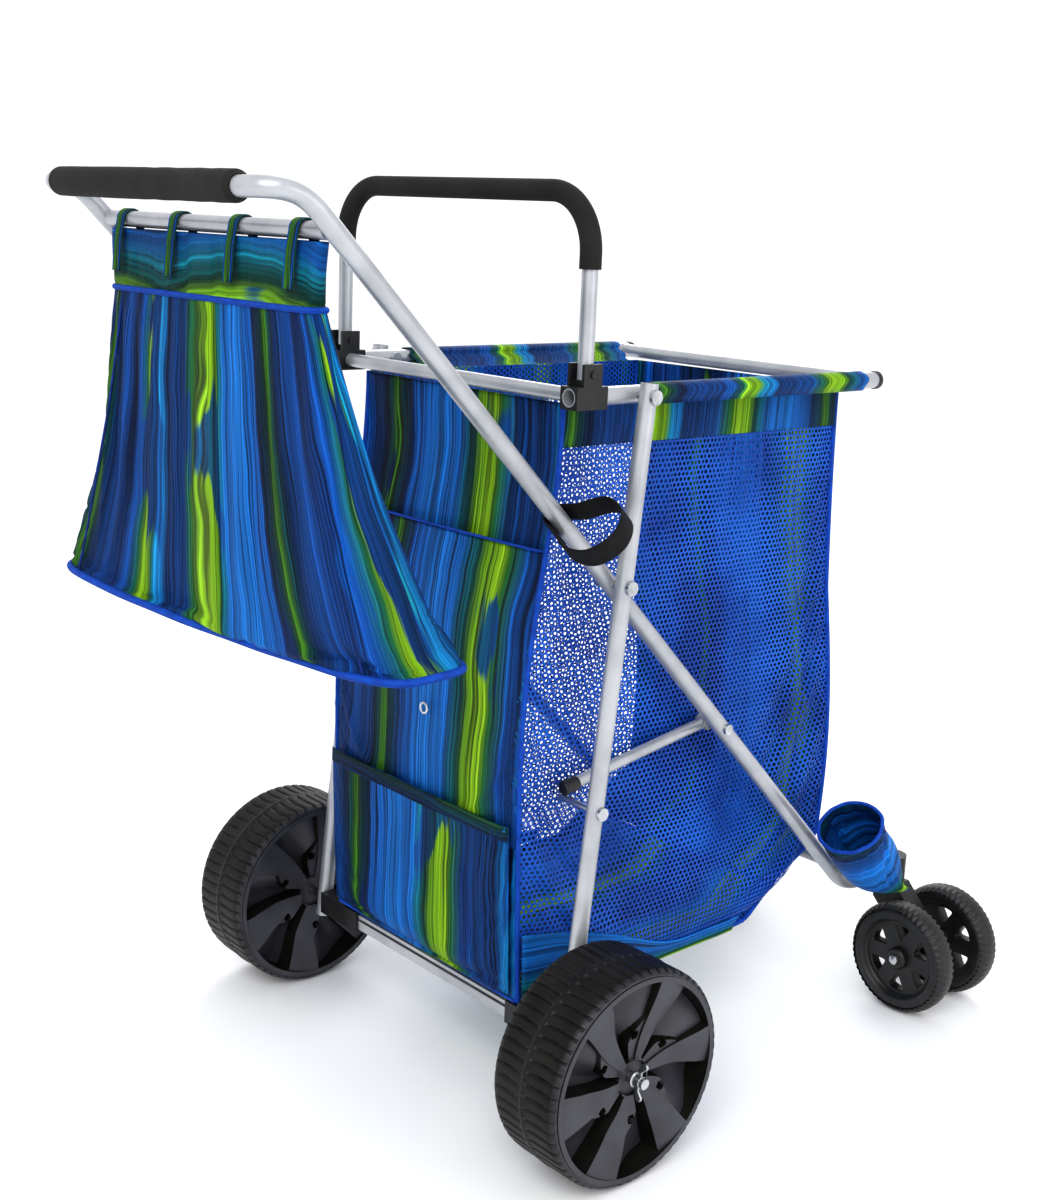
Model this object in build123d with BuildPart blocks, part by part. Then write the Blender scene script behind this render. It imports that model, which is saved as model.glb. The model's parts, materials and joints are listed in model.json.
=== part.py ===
from build123d import *
import os

os.makedirs("parts", exist_ok=True)

# Folding beach cart, mm, +X forward, +Y left, +Z up, floor at z = 0.
# The origin is under the middle of the whole cart.

AXLE_X = -156.75
WHEEL_R = 127.0
WHEEL_IN = 257.0
WHEEL_OUT = 360.0
HUB_OUT = 352.0

TUBE_R = 10.0
WALL = 1.5
RAIL_Y = 217.0
LEG_Y = 241.0
LINK_Y = 190.0
LINK_R = 7.0
LINK_WALL = 1.2

PIVOT_X = AXLE_X + 58.0
PIVOT_Z = 648.0
LEG_LEAN = 0.102
RAIL_Z = 853.0
RAIL_REAR_X = AXLE_X - 14.0
RAIL_FRONT_X = AXLE_X + 500.0
HOOP_X = AXLE_X + 8.0
HOOP_Z = 877.0
HOOP_TOP = 1062.0

GRIP_X = AXLE_X - 383.0
GRIP_Z = 1051.0
GRIP_HALF = 172.0
GRIP_R = 15.0
LINK_X = AXLE_X + 261.0
LINK_END_X = AXLE_X + 36.0
LINK_END_Z = 408.2
PIN_Z = 395.0

CASTER_X = AXLE_X + 641.0
CASTER_R = 76.0
CASTER_TRAIL = 65.0
CASTER_SPACING = 99.0
CASTER_W = 36.0

BOLT_R = 4.0
LINK_BOLT_R = 3.0
RAIL_BOLT_R = 3.5
AXLE_R = 6.0
PLAY = 0.3

BAG_HALF = 176.0
BAG_REAR_X = AXLE_X - 14.0
BAG_FRONT_X = AXLE_X + 500.0
CLOTH = 4.0
SIDES = (("left", 1), ("right", -1))


def diagonal_z(x):
    """Height of the diagonal leg's axis, which falls at 45 degrees."""
    return PIVOT_Z - (x - PIVOT_X)


def leg_x(z):
    """Position of the wheel leg's axis at a height."""
    return AXLE_X + 5.0 + (z - WHEEL_R) * LEG_LEAN


def tube_between(start, end, radius, wall):
    """A round tube from one point to another."""
    direction = Vector(*end) - Vector(*start)
    with BuildPart() as tube:
        with BuildSketch(Plane(origin=start, z_dir=direction)):
            Circle(radius)
            Circle(radius - wall, mode=Mode.SUBTRACT)
        extrude(amount=direction.length)
    return tube.part


def rod_between(start, end, radius):
    """A solid rod from one point to another."""
    direction = Vector(*end) - Vector(*start)
    with BuildPart() as rod:
        with BuildSketch(Plane(origin=start, z_dir=direction)):
            Circle(radius)
        extrude(amount=direction.length)
    return rod.part


def rod_y(x, z, y_start, y_end, radius):
    """A solid rod that runs across the cart."""
    return rod_between((x, y_start, z), (x, y_end, z), radius)


def block(x_low, x_high, y_low, y_high, z_low, z_high):
    """A plain block between two corners."""
    with BuildPart() as solid:
        with Locations(((x_low + x_high) / 2, (y_low + y_high) / 2, (z_low + z_high) / 2)):
            Box(x_high - x_low, abs(y_high - y_low), z_high - z_low)
    return solid.part


def disc_profile(points, x, z):
    """A ring turned about a cross axis; points are (radius, y) pairs."""
    with BuildPart() as ring:
        with BuildSketch(Plane(origin=(x, 0, z), x_dir=(1, 0, 0), z_dir=(0, 0, 1))):
            with BuildLine():
                Polyline(*points, close=True)
            make_face()
        revolve(axis=Axis((x, 0, z), (0, 1, 0)))
    return ring.part


# Diagonal legs and handle --------------------------------------------------

DIAG_TOP_X = AXLE_X - 322.0
FOOT_Z = 172.0
BEND_X = PIVOT_X + PIVOT_Z - FOOT_Z
FOOT_X = AXLE_X + 640.0 - 12.0
CROSS_X = AXLE_X - 309.0
FRONT_BAR_X = AXLE_X + 584.0

for side, sign in SIDES:
    top = (DIAG_TOP_X, sign * RAIL_Y, diagonal_z(DIAG_TOP_X))
    bend = (BEND_X, sign * RAIL_Y, FOOT_Z)
    foot = (FOOT_X, sign * RAIL_Y, FOOT_Z)
    with BuildPart() as diagonal_leg:
        with BuildLine():
            FilletPolyline(top, bend, foot, radius=70)
        with BuildSketch(Plane(origin=top, z_dir=(1, 0, -1))):
            Circle(TUBE_R)
            Circle(TUBE_R - WALL, mode=Mode.SUBTRACT)
        sweep()
        add(rod_y(PIVOT_X, PIVOT_Z, sign * 200, sign * 235, BOLT_R), mode=Mode.SUBTRACT)
        add(rod_y(LINK_X, diagonal_z(LINK_X), sign * 200, sign * 235, LINK_BOLT_R), mode=Mode.SUBTRACT)
    diagonal_leg.part.label = side + "_diagonal_leg"
    export_step(diagonal_leg.part, "parts/" + side + "_diagonal_leg.step")

HOOP_START = (DIAG_TOP_X, RAIL_Y, diagonal_z(DIAG_TOP_X))
HOOP_MID = (DIAG_TOP_X - 26.0, RAIL_Y - 3.0, diagonal_z(DIAG_TOP_X) + 19.0)
GRIP_END = (GRIP_X, GRIP_HALF, GRIP_Z)


def mirrored(point):
    """The same point on the right side."""
    return (point[0], -point[1], point[2])


with BuildPart() as handle_hoop:
    with BuildLine():
        Spline(HOOP_START, HOOP_MID, GRIP_END, tangents=((-1, 0, 1), (0, -1, 0)))
        Line(GRIP_END, mirrored(GRIP_END))
        Spline(
            mirrored(GRIP_END), mirrored(HOOP_MID), mirrored(HOOP_START),
            tangents=((0, -1, 0), (1, 0, -1)),
        )
    with BuildSketch(Plane(origin=HOOP_START, z_dir=(-1, 0, 1))):
        Circle(TUBE_R)
    sweep()
handle_hoop.part.label = "handle_hoop"
export_step(handle_hoop.part, "parts/handle_hoop.step")

with BuildPart() as handle_grip:
    add(tube_between(mirrored(GRIP_END), GRIP_END, GRIP_R, GRIP_R - TUBE_R))
handle_grip.part.label = "handle_grip"
export_step(handle_grip.part, "parts/handle_grip.step")

CROSS_R = 8.5
CROSS_END = (CROSS_X, RAIL_Y - TUBE_R, diagonal_z(CROSS_X))
with BuildPart() as handle_crossbar:
    add(tube_between(mirrored(CROSS_END), CROSS_END, CROSS_R, WALL))
handle_crossbar.part.label = "handle_crossbar"
export_step(handle_crossbar.part, "parts/handle_crossbar.step")

FRONT_BAR_R = 9.0
FRONT_BAR_END = (FRONT_BAR_X, RAIL_Y - TUBE_R, FOOT_Z)
with BuildPart() as front_crossbar:
    add(tube_between(mirrored(FRONT_BAR_END), FRONT_BAR_END, FRONT_BAR_R, WALL))
front_crossbar.part.label = "front_crossbar"
export_step(front_crossbar.part, "parts/front_crossbar.step")


STEM_R = 6.0
SOCKET_LOW = 157.0
SOCKET_HIGH = 191.0
SOCKET_R = 19.0
SLEEVE_R = 13.5
SLEEVE = 42.0
for side, sign in SIDES:
    y = sign * RAIL_Y
    foot = (FOOT_X, y, FOOT_Z)
    with BuildPart() as caster_socket:
        add(rod_between((CASTER_X, y, SOCKET_LOW), (CASTER_X, y, SOCKET_HIGH), SOCKET_R))
        add(rod_between((FOOT_X - SLEEVE, y, FOOT_Z), (CASTER_X, y, FOOT_Z), SLEEVE_R))
        add(rod_between((FOOT_X - 2 * SLEEVE, y, FOOT_Z), foot, TUBE_R), mode=Mode.SUBTRACT)
        stem_top = (CASTER_X, y, SOCKET_HIGH - 5)
        add(rod_between((CASTER_X, y, SOCKET_LOW - 1), stem_top, STEM_R + 0.4), mode=Mode.SUBTRACT)
        add(rod_between(mirrored(FRONT_BAR_END), FRONT_BAR_END, FRONT_BAR_R), mode=Mode.SUBTRACT)
    caster_socket.part.label = side + "_caster_socket"
    export_step(caster_socket.part, "parts/" + side + "_caster_socket.step")

# Bolts that hold the pivots on the diagonal legs

for side, sign in SIDES:
    with BuildPart() as pivot_bolts:
        for y_low, y_high, radius in ((203, 254.3, BOLT_R), (251.3, 255.5, 8.0), (202, 206.5, 7.0)):
            add(rod_y(PIVOT_X, PIVOT_Z, sign * y_low, sign * y_high, radius))
        for y_low, y_high, radius in ((180.5, 229, LINK_BOLT_R), (227, 230.5, 6.5), (198, 207, 5.5)):
            add(rod_y(LINK_X, diagonal_z(LINK_X), sign * y_low, sign * y_high, radius))
    pivot_bolts.part.label = side + "_pivot_bolts"
    export_step(pivot_bolts.part, "parts/" + side + "_pivot_bolts.step")

# Wheel frame -----------------------------------------------------------------

LEG_LOW_Z = 104.0
AXLE_LINE_X = leg_x(WHEEL_R)
BEAM_HALF = 10.0
BEAM_END = 222.0


def cross_block(y_low, y_high, half):
    """A square block round the axle."""
    return block(AXLE_LINE_X - half, AXLE_LINE_X + half, y_low, y_high, WHEEL_R - half, WHEEL_R + half)


for side, sign in SIDES:
    with BuildPart() as wheel_leg:
        low = (leg_x(LEG_LOW_Z), sign * LEG_Y, LEG_LOW_Z)
        top = (leg_x(RAIL_Z + 14), sign * LEG_Y, RAIL_Z + 14)
        add(tube_between(low, top, TUBE_R, WALL))
        holes = (
            (PIVOT_X, PIVOT_Z, BOLT_R + PLAY), (leg_x(WHEEL_R), WHEEL_R, AXLE_R),
            (leg_x(RAIL_Z), RAIL_Z, RAIL_BOLT_R), (leg_x(PIN_Z), PIN_Z, BOLT_R),
        )
        for x, z, radius in holes:
            add(rod_y(x, z, sign * 225, sign * 260, radius), mode=Mode.SUBTRACT)
    wheel_leg.part.label = side + "_wheel_leg"
    export_step(wheel_leg.part, "parts/" + side + "_wheel_leg.step")

    with BuildPart() as link_pin:
        add(rod_y(leg_x(PIN_Z), PIN_Z, sign * 183.5, sign * 254, BOLT_R))
        add(rod_y(leg_x(PIN_Z), PIN_Z, sign * 251.2, sign * 255, 7.5))
    link_pin.part.label = side + "_link_pin"
    export_step(link_pin.part, "parts/" + side + "_link_pin.step")

    with BuildPart() as rail_bolt:
        for y_low, y_high, radius in ((204, 254, RAIL_BOLT_R), (251.2, 255, 8.0), (203, 206.6, 7.0)):
            add(rod_y(leg_x(RAIL_Z), RAIL_Z, sign * y_low, sign * y_high, radius))
    rail_bolt.part.label = side + "_rail_bolt"
    export_step(rail_bolt.part, "parts/" + side + "_rail_bolt.step")

    with BuildPart() as axle_block:
        add(cross_block(sign * 150, sign * 230.7, BEAM_HALF + 4))
        add(cross_block(sign * 149, sign * BEAM_END, BEAM_HALF), mode=Mode.SUBTRACT)
        add(rod_y(AXLE_LINE_X, WHEEL_R, sign * 140, sign * 240, AXLE_R), mode=Mode.SUBTRACT)
    axle_block.part.label = side + "_axle_block"
    export_step(axle_block.part, "parts/" + side + "_axle_block.step")

    with BuildPart() as wing_nut:
        add(rod_y(AXLE_LINE_X, WHEEL_R, sign * (HUB_OUT + PLAY), sign * 364, 9.0))
        with Locations((AXLE_LINE_X, sign * 361, WHEEL_R)):
            Box(7, 8, 44)
        add(rod_y(AXLE_LINE_X, WHEEL_R, sign * 340, sign * 368, AXLE_R), mode=Mode.SUBTRACT)
    wing_nut.part.label = side + "_wing_nut"
    export_step(wing_nut.part, "parts/" + side + "_wing_nut.step")

with BuildPart() as axle_tube:
    add(cross_block(-BEAM_END, BEAM_END, BEAM_HALF))
    add(cross_block(-BEAM_END, BEAM_END, BEAM_HALF - WALL), mode=Mode.SUBTRACT)
axle_tube.part.label = "axle_tube"
export_step(axle_tube.part, "parts/axle_tube.step")

with BuildPart() as axle_rod:
    add(rod_y(AXLE_LINE_X, WHEEL_R, -368, 368, AXLE_R))
axle_rod.part.label = "axle_rod"
export_step(axle_rod.part, "parts/axle_rod.step")

# Rear wheels -------------------------------------------------------------------

BLADES = 6
BLADE_HALF = 3.5
RIM_R = 117.0
HUB_R = 25.0
WEB_Y = 292.0
WEB = 7.0
SHOULDER = 14.0


def wheel_rings():
    """The tread, the web and the hub as closed profiles of (radius, y)."""
    tread = [
        (RIM_R, WHEEL_IN), (WHEEL_R - 3, WHEEL_IN), (WHEEL_R, WHEEL_IN + SHOULDER),
        (WHEEL_R, WHEEL_OUT - SHOULDER), (WHEEL_R - 3, WHEEL_OUT), (RIM_R, WHEEL_OUT),
    ]
    web = [(HUB_R - 1, WEB_Y), (RIM_R + 1, WEB_Y), (RIM_R + 1, WEB_Y + WEB), (HUB_R - 1, WEB_Y + WEB)]
    bore = AXLE_R + 0.4
    hub = [(bore, WHEEL_IN + 0.5), (HUB_R, WHEEL_IN + 0.5), (HUB_R, HUB_OUT), (bore, HUB_OUT)]
    return tread, web, hub


for side, sign in SIDES:
    with BuildPart() as wheel:
        for profile in wheel_rings():
            add(disc_profile([(r, sign * y) for r, y in profile], AXLE_LINE_X, WHEEL_R))
        blade = block(
            AXLE_LINE_X + HUB_R - 3, AXLE_LINE_X + RIM_R + 1, sign * (WEB_Y + WEB - 1), sign * (HUB_OUT + 2),
            WHEEL_R - BLADE_HALF, WHEEL_R + BLADE_HALF,
        )
        for i in range(BLADES):
            add(blade.rotate(Axis((AXLE_LINE_X, 0, WHEEL_R), (0, 1, 0)), 360 / BLADES * i))
    wheel.part.label = side + "_wheel"
    export_step(wheel.part, "parts/" + side + "_wheel.step")

# Casters -------------------------------------------------------------------------

CROWN_LOW = 145.5
CROWN_HIGH = 155.0
CROWN_R = 17.0
YOKE_LOW = 62.0
YOKE_HALF = 15.0
CASTER_AXLE_R = 5.0
CASTER_RIM_R = 60.0
CASTER_HUB_R = 16.0
for side, sign in SIDES:
    stem_y = sign * RAIL_Y
    axle_y = stem_y - CASTER_TRAIL
    with BuildPart() as caster_yoke:
        add(rod_between((CASTER_X, stem_y, CROWN_LOW), (CASTER_X, stem_y, SOCKET_HIGH - 7), STEM_R))
        add(rod_between((CASTER_X, stem_y, CROWN_LOW), (CASTER_X, stem_y, SOCKET_LOW - 0.5), CROWN_R))
        with BuildSketch(Plane.YZ.offset(CASTER_X - YOKE_HALF)):
            with BuildLine():
                Polyline(
                    (stem_y + 16, CROWN_HIGH), (stem_y + 16, CROWN_HIGH - 27),
                    (axle_y + 14, YOKE_LOW), (axle_y - 16, YOKE_LOW),
                    (axle_y - 16, YOKE_LOW + 30), (stem_y - 20, CROWN_HIGH), close=True,
                )
            make_face()
        extrude(amount=2 * YOKE_HALF)
        with Locations(Location((CASTER_X, axle_y, CASTER_R), (0, 90, 0))):
            Cylinder(CASTER_AXLE_R, CASTER_SPACING + CASTER_W + 6)
    caster_yoke.part.label = side + "_caster_yoke"
    export_step(caster_yoke.part, "parts/" + side + "_caster_yoke.step")

    for place, offset in (("rear", -CASTER_SPACING / 2), ("front", CASTER_SPACING / 2)):
        with BuildPart() as caster_wheel:
            with Locations(Location((CASTER_X + offset, axle_y, CASTER_R), (0, 90, 0))):
                Cylinder(CASTER_R, CASTER_W)
                Cylinder(CASTER_RIM_R, CASTER_W, mode=Mode.SUBTRACT)
                Cylinder(CASTER_RIM_R + 1, CASTER_W / 3)
                Cylinder(CASTER_HUB_R, CASTER_W)
                Cylinder(CASTER_AXLE_R + PLAY, CASTER_W + 2, mode=Mode.SUBTRACT)
            fillet(caster_wheel.edges().filter_by(GeomType.CIRCLE).group_by(SortBy.RADIUS)[-1], 5)
        caster_wheel.part.label = side + "_caster_" + place + "_wheel"
        export_step(caster_wheel.part, "parts/" + side + "_caster_" + place + "_wheel.step")

# Bag rails -----------------------------------------------------------------------

CLAMP_HALF = 22.0
CHEEK_HALF = 13.0
CLAMP_IN = 204.0
CLAMP_OUT = 230.0
CLAMP_LOW = RAIL_Z - 12.5
CLAMP_HIGH = RAIL_Z + 11.5
CHEEK = 4.0
HOOP_R = 8.6
REAR_BAR_R = 8.0
for side, sign in SIDES:
    rail_start = (RAIL_REAR_X, sign * RAIL_Y, RAIL_Z)
    rail_end = (RAIL_FRONT_X, sign * RAIL_Y, RAIL_Z)
    with BuildPart() as bag_rail:
        add(tube_between(rail_start, rail_end, TUBE_R, WALL))
        add(rod_y(leg_x(RAIL_Z), RAIL_Z, sign * 200, sign * 232, RAIL_BOLT_R + PLAY), mode=Mode.SUBTRACT)
    bag_rail.part.label = side + "_bag_rail"
    export_step(bag_rail.part, "parts/" + side + "_bag_rail.step")

    with BuildPart() as hoop_joint:
        clamp_in, clamp_out = sign * CLAMP_IN, sign * CLAMP_OUT
        add(block(HOOP_X - CLAMP_HALF, HOOP_X + CLAMP_HALF, clamp_in, clamp_out, CLAMP_LOW, CLAMP_HIGH))
        for y_low, y_high in ((clamp_in, clamp_in + sign * CHEEK), (clamp_out - sign * CHEEK, clamp_out)):
            add(block(HOOP_X - CHEEK_HALF, HOOP_X + CHEEK_HALF, y_low, y_high, CLAMP_HIGH, HOOP_Z + 11))
        add(rod_y(HOOP_X, HOOP_Z, sign * 202, sign * 232, BOLT_R))
        add(rod_between(rail_start, rail_end, TUBE_R), mode=Mode.SUBTRACT)
        add(rod_y(HOOP_X, RAIL_Z, TUBE_R - RAIL_Y, RAIL_Y - TUBE_R, REAR_BAR_R), mode=Mode.SUBTRACT)
    hoop_joint.part.label = side + "_hoop_joint"
    export_step(hoop_joint.part, "parts/" + side + "_hoop_joint.step")

with BuildPart() as rail_rear_bar:
    add(tube_between((HOOP_X, TUBE_R - RAIL_Y, RAIL_Z), (HOOP_X, RAIL_Y - TUBE_R, RAIL_Z), REAR_BAR_R, WALL))
rail_rear_bar.part.label = "rail_rear_bar"
export_step(rail_rear_bar.part, "parts/rail_rear_bar.step")

TOP_BAR_END = (RAIL_FRONT_X - 12, RAIL_Y - TUBE_R, RAIL_Z)
with BuildPart() as rail_front_bar:
    add(tube_between(mirrored(TOP_BAR_END), TOP_BAR_END, FRONT_BAR_R, WALL))
rail_front_bar.part.label = "rail_front_bar"
export_step(rail_front_bar.part, "parts/rail_front_bar.step")

for side, sign in SIDES:
    cap_start = (RAIL_FRONT_X, sign * RAIL_Y, RAIL_Z)
    with BuildPart() as rail_cap:
        add(rod_between(cap_start, (RAIL_FRONT_X + 6, sign * RAIL_Y, RAIL_Z), TUBE_R + 1))
    rail_cap.part.label = side + "_rail_cap"
    export_step(rail_cap.part, "parts/" + side + "_rail_cap.step")

# Front hoop -------------------------------------------------------------------------

HOOP_BEND = 62.0


def hoop_run(foot_z):
    """The front hoop's line, from a height on the left over to the same height on the right."""
    foot = (HOOP_X, RAIL_Y, foot_z)
    corner = (HOOP_X, RAIL_Y, HOOP_TOP)
    return foot, corner, mirrored(corner), mirrored(foot)


with BuildPart() as front_hoop:
    with BuildLine():
        FilletPolyline(*hoop_run(HOOP_Z - 6), radius=HOOP_BEND)
    with BuildSketch(Plane(origin=(HOOP_X, RAIL_Y, HOOP_Z - 6), z_dir=(0, 0, 1))):
        Circle(HOOP_R)
    sweep()
    for _, sign in SIDES:
        add(rod_y(HOOP_X, HOOP_Z, sign * 200, sign * 235, BOLT_R + PLAY), mode=Mode.SUBTRACT)
front_hoop.part.label = "front_hoop"
export_step(front_hoop.part, "parts/front_hoop.step")

HOOP_GRIP_Z = HOOP_TOP - 78.0
with BuildPart() as front_hoop_grip:
    with BuildLine():
        FilletPolyline(*hoop_run(HOOP_GRIP_Z), radius=HOOP_BEND)
    with BuildSketch(Plane(origin=(HOOP_X, RAIL_Y, HOOP_GRIP_Z), z_dir=(0, 0, 1))):
        Circle(HOOP_R + 3)
        Circle(HOOP_R, mode=Mode.SUBTRACT)
    sweep()
front_hoop_grip.part.label = "front_hoop_grip"
export_step(front_hoop_grip.part, "parts/front_hoop_grip.step")

# Side links ---------------------------------------------------------------------------

for side, sign in SIDES:
    link_end = (LINK_END_X, sign * LINK_Y, LINK_END_Z)
    link_start = (LINK_X, sign * LINK_Y, diagonal_z(LINK_X))
    with BuildPart() as side_link:
        add(tube_between(link_end, link_start, LINK_R, LINK_WALL))
        add(rod_y(LINK_X, diagonal_z(LINK_X), sign * 182.5, sign * 197.5, LINK_R + 2))
        add(rod_y(LINK_X, diagonal_z(LINK_X), sign * 180, sign * 200, LINK_BOLT_R + PLAY), mode=Mode.SUBTRACT)
    side_link.part.label = side + "_side_link"
    export_step(side_link.part, "parts/" + side + "_side_link.step")

    with BuildPart() as link_cap:
        slope = (LINK_END_Z - diagonal_z(LINK_X)) / (LINK_END_X - LINK_X)
        tip = (LINK_END_X - 8, sign * LINK_Y, LINK_END_Z - 8 * slope)
        add(rod_between(link_end, tip, LINK_R + 0.5))
    link_cap.part.label = side + "_link_cap"
    export_step(link_cap.part, "parts/" + side + "_link_cap.step")

# Main bag ---------------------------------------------------------------------------------

SIDE_OUTLINE = (
    (BAG_REAR_X + 4, 158), (AXLE_X + 430, 152), (AXLE_X + 500, 196),
    (AXLE_X + 508, 320), (AXLE_X + 478, 842), (AXLE_X + 18, 842), (BAG_REAR_X + 6, 420),
)
for side, sign in SIDES:
    with BuildPart() as bag_side:
        with BuildSketch(Plane.XZ.offset(-sign * BAG_HALF)):
            with BuildLine():
                Polyline(*SIDE_OUTLINE, close=True)
            make_face()
        extrude(amount=-sign * CLOTH)
        add(block(AXLE_X + 36, AXLE_X + 470, sign * BAG_HALF, sign * 206.7, 838, 842))
    bag_side.part.label = "bag_" + side + "_side"
    export_step(bag_side.part, "parts/bag_" + side + "_side.step")

with BuildPart() as bag_rear_panel:
    with BuildSketch(Plane.XZ.offset(-BAG_HALF)):
        with BuildLine():
            Polyline(
                (BAG_REAR_X, 158), (BAG_REAR_X + 4, 158), (BAG_REAR_X + 6, 420),
                (AXLE_X + 18, 842), (AXLE_X + 14, 844.8), (BAG_REAR_X + 2, 420), close=True,
            )
        make_face()
    extrude(amount=2 * BAG_HALF)
bag_rear_panel.part.label = "bag_rear_panel"
export_step(bag_rear_panel.part, "parts/bag_rear_panel.step")

with BuildPart() as bag_rear_pocket:
    add(block(BAG_REAR_X - 14, BAG_REAR_X, -168, 168, 168, 372))
    add(block(BAG_REAR_X - 11, BAG_REAR_X + 1, -165, 165, 171, 380), mode=Mode.SUBTRACT)
bag_rear_pocket.part.label = "bag_rear_pocket"
export_step(bag_rear_pocket.part, "parts/bag_rear_pocket.step")

with BuildPart() as bag_bottom:
    add(block(BAG_REAR_X, AXLE_X + 430, -BAG_HALF, BAG_HALF, 148, 152))
    add(block(BAG_REAR_X, BAG_REAR_X + 4, -BAG_HALF, BAG_HALF, 152, 158))
bag_bottom.part.label = "bag_bottom"
export_step(bag_bottom.part, "parts/bag_bottom.step")

with BuildPart() as bag_front_panel:
    with BuildSketch(Plane.XZ.offset(-BAG_HALF)):
        with BuildLine():
            Polyline(
                (AXLE_X + 430, 152), (AXLE_X + 430, 148), (AXLE_X + 505, 194),
                (AXLE_X + 513, 320), (AXLE_X + 482, 843), (AXLE_X + 478, 842),
                (AXLE_X + 508, 320), (AXLE_X + 500, 196), close=True,
            )
        make_face()
    extrude(amount=2 * BAG_HALF)
bag_front_panel.part.label = "bag_front_panel"
export_step(bag_front_panel.part, "parts/bag_front_panel.step")

# Tote ---------------------------------------------------------------------------------------

TOTE_LOW_X = AXLE_X - 262.0
TOTE_TOP_X = AXLE_X - 305.0
TOTE_LOW_Z = 612.0
TOTE_TOP_Z = 968.0
TOTE_TURN = 6.5


def tote_loft(low_z, high_z, inset):
    """The tote's tapering body; it hangs turned a little, and inset draws its sides in."""
    with BuildPart() as body:
        with BuildSketch(Plane.XY.offset(low_z)):
            with Locations(Location((TOTE_LOW_X, 0), TOTE_TURN)):
                Rectangle(124 - 2 * inset, 570 - 2 * inset)
        with BuildSketch(Plane.XY.offset(high_z)):
            with Locations((TOTE_TOP_X, 0)):
                Rectangle(34 - 2 * inset, 392 - 2 * inset)
        loft()
    return body.part


with BuildPart() as tote_bag:
    add(tote_loft(TOTE_LOW_Z, TOTE_TOP_Z, 0.0))
    add(tote_loft(TOTE_LOW_Z + CLOTH, TOTE_TOP_Z + 1, CLOTH), mode=Mode.SUBTRACT)
tote_bag.part.label = "tote_bag"
export_step(tote_bag.part, "parts/tote_bag.step")

STRAP_Y = 120.0
STRAP_W = 40.0
STRAP = 3.0
with BuildPart() as tote_straps:
    for y in (-STRAP_Y, STRAP_Y):
        bar_z = diagonal_z(CROSS_X)
        with Locations(Location((CROSS_X, y, bar_z), (90, 0, 0))):
            Cylinder(CROSS_R + STRAP, STRAP_W)
            Cylinder(CROSS_R, STRAP_W, mode=Mode.SUBTRACT)
        strap_x = CROSS_X + 2.5
        y_low, y_high = y - STRAP_W / 2, y + STRAP_W / 2
        add(block(strap_x, strap_x + STRAP, y_low, y_high, TOTE_TOP_Z - 14, bar_z - CROSS_R - PLAY))
tote_straps.part.label = "tote_straps"
export_step(tote_straps.part, "parts/tote_straps.step")

# Umbrella pocket -----------------------------------------------------------------------------

POCKET_R = 38.5
POCKET_WALL = 3.5
POCKET_DEPTH = 131.5
POCKET_SPLAY = 3.4
SEAT = (AXLE_X + 502.5, -273.0, 245.5)
POCKET_UP = Vector(-1, 0, 1).normalized().rotate(Axis.X, POCKET_SPLAY)


def along_pocket(distance):
    """A point on the pocket's axis, which leans out past the wheel leg and its pivot."""
    return tuple(Vector(*SEAT) + POCKET_UP * distance)


with BuildPart() as umbrella_pocket:
    floor, rim = -POCKET_DEPTH / 2, POCKET_DEPTH / 2
    add(rod_between(along_pocket(floor - POCKET_WALL), along_pocket(rim), POCKET_R + POCKET_WALL))
    add(rod_between(along_pocket(floor), along_pocket(rim + 5), POCKET_R), mode=Mode.SUBTRACT)
    leg_high = (LINK_X, -RAIL_Y, diagonal_z(LINK_X))
    add(rod_between((BEND_X, -RAIL_Y, FOOT_Z), leg_high, TUBE_R + 0.4), mode=Mode.SUBTRACT)
umbrella_pocket.part.label = "umbrella_pocket"
export_step(umbrella_pocket.part, "parts/umbrella_pocket.step")
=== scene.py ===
import json
import math

import bpy
from mathutils import Matrix, Vector, noise


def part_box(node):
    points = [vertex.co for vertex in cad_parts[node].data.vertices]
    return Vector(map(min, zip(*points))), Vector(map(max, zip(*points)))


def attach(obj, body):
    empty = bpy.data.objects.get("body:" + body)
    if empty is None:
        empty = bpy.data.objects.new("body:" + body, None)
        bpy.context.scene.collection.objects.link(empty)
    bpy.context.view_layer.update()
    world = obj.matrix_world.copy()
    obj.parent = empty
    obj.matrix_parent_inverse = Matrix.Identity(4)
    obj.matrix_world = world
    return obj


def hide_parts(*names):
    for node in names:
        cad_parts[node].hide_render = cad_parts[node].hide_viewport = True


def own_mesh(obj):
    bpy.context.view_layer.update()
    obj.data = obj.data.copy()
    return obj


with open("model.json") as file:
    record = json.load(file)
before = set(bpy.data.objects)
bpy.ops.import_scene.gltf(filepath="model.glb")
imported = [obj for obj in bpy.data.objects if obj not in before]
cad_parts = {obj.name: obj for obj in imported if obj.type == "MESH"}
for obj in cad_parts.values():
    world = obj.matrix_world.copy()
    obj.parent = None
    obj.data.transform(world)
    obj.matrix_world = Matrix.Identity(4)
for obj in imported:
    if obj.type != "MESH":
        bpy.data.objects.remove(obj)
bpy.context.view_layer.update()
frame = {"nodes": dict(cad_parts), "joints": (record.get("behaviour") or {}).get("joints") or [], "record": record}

# --- Reference places, in metres, worked out from the frame ---

MM = 0.001
SIDES = (("left", 1), ("right", -1))


def box_centre(node):
    """Middle of a CAD node's box."""
    low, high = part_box(node)
    return (low + high) / 2


AXLE = box_centre("axle_rod")
PIVOT = Vector(next(joint for joint in frame["joints"] if joint["name"] == "frame_fold")["pos_m"])
GRIP = box_centre("handle_grip")
CROSSBAR = box_centre("handle_crossbar")
RAIL = box_centre("left_bag_rail")
BAG_LOW, BAG_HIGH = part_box("bag_left_side")
PANEL_LOW, PANEL_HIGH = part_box("bag_rear_panel")
BAG_HALF = PANEL_HIGH.y


# --- Camera, floor and light ---

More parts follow.
